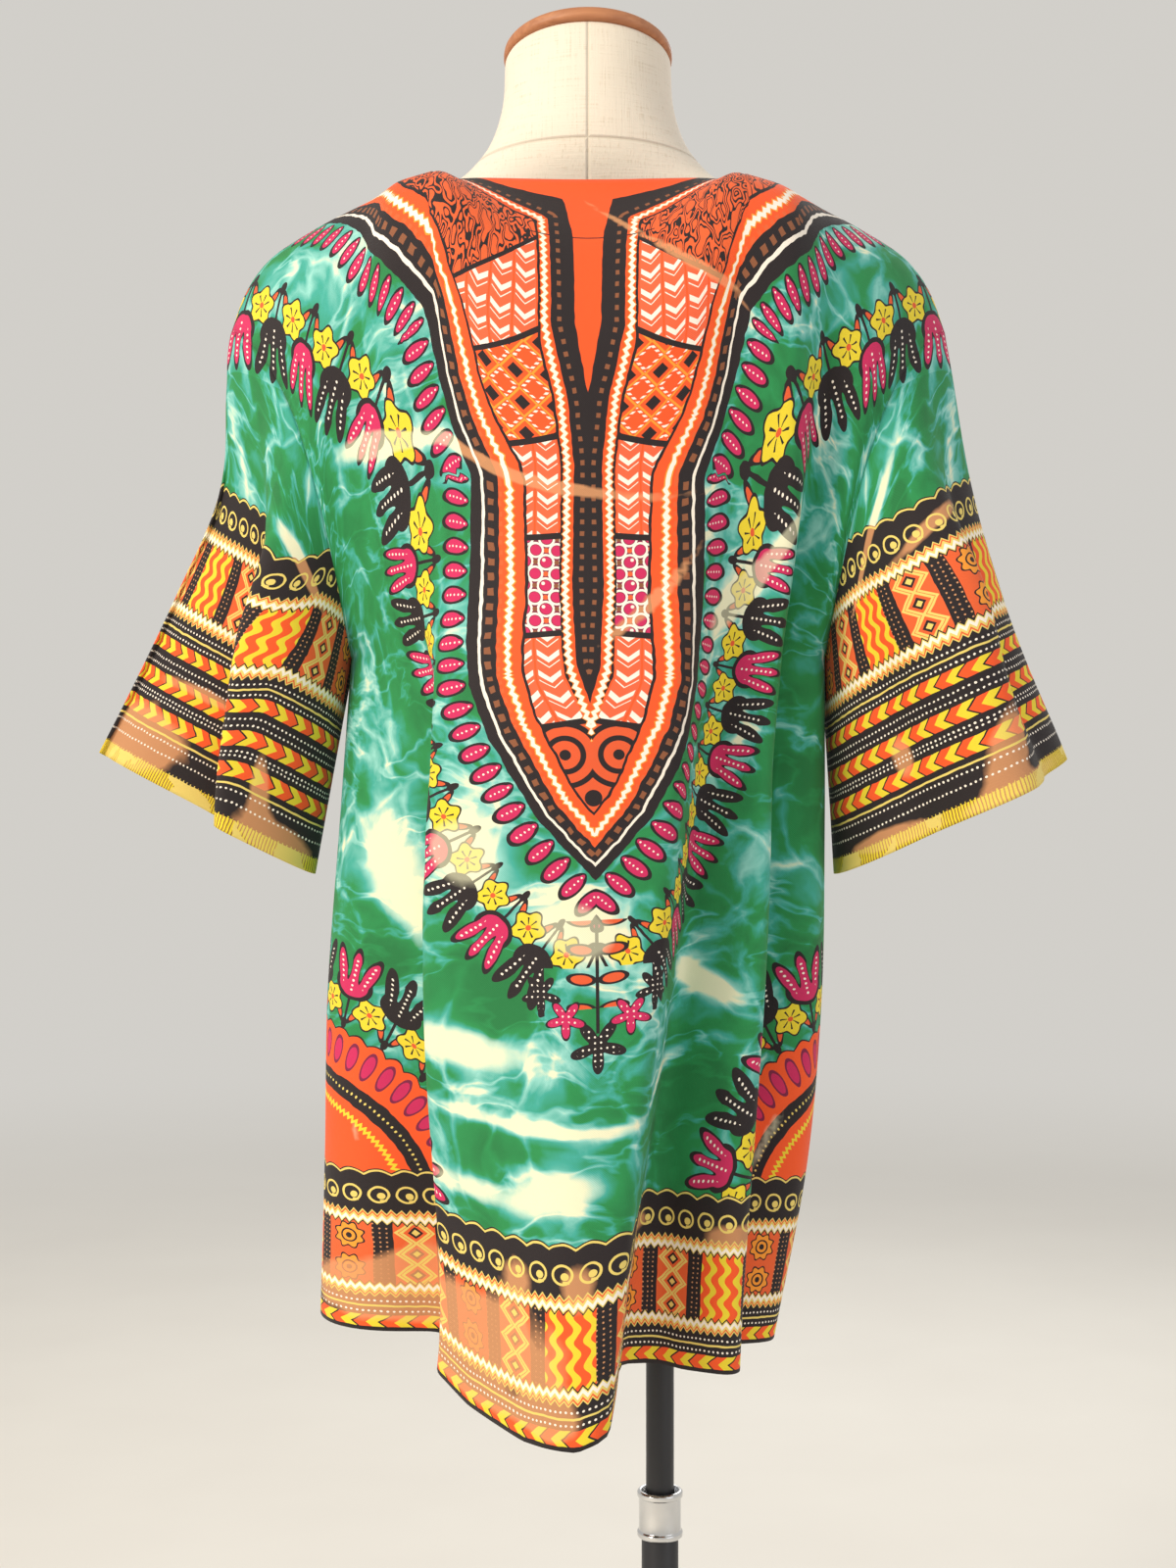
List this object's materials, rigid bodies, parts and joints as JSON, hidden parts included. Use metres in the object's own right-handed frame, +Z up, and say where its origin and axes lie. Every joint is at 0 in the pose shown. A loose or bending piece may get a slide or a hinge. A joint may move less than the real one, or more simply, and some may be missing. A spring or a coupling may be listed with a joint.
{
  "type": "dashiki shirt on a dress form",
  "caption": "Loose printed cotton shirt with wide short sleeves and a slit neck, worn by a limbless linen dress form on a round-based telescopic stand.",
  "frame": {"origin": "the centre of the round base's underside, on the line of the pole, at the floor", "axes": "+Z up along the pole; the back of the shirt faces -Y and its front faces +Y; +X runs to the right as one looks at the back, towards the wearer's right sleeve"},
  "size_m": [0.6574, 0.322, 1.4797],
  "materials": {
    "printed_cotton": "matte printed cotton",
    "sleeve_cotton": "matte printed cotton with a border",
    "linen": "matte natural linen over a hard shell",
    "cap_wood": "satin varnished wood",
    "black_steel": "black gloss paint",
    "collar_chrome": "polished chrome",
    "knob_plastic": "matte black plastic"
  },
  "bodies": {
    "stand": {"base": "black_steel", "socket": "black_steel", "outer_tube": "black_steel", "collar": "collar_chrome", "clamp_knob": "knob_plastic"},
    "mast": {"inner_tube": "black_steel"},
    "form": {"form_torso": "linen", "neck_cap": "cap_wood", "back_panel": "printed_cotton", "front_panel": "printed_cotton", "sleeve_left": "sleeve_cotton", "sleeve_right": "sleeve_cotton"}
  },
  "joints": [
    {"name": "height_slide", "type": "slide", "parent": "stand", "child": "mast", "axis": [0, 0, 1], "range_m": [-0.08, 0.15]},
    {"name": "form_swivel", "type": "hinge", "parent": "mast", "child": "form", "pos_m": [0, 0, 0.706], "axis": [0, 0, 1], "range_deg": [-180, 180]}
  ]
}
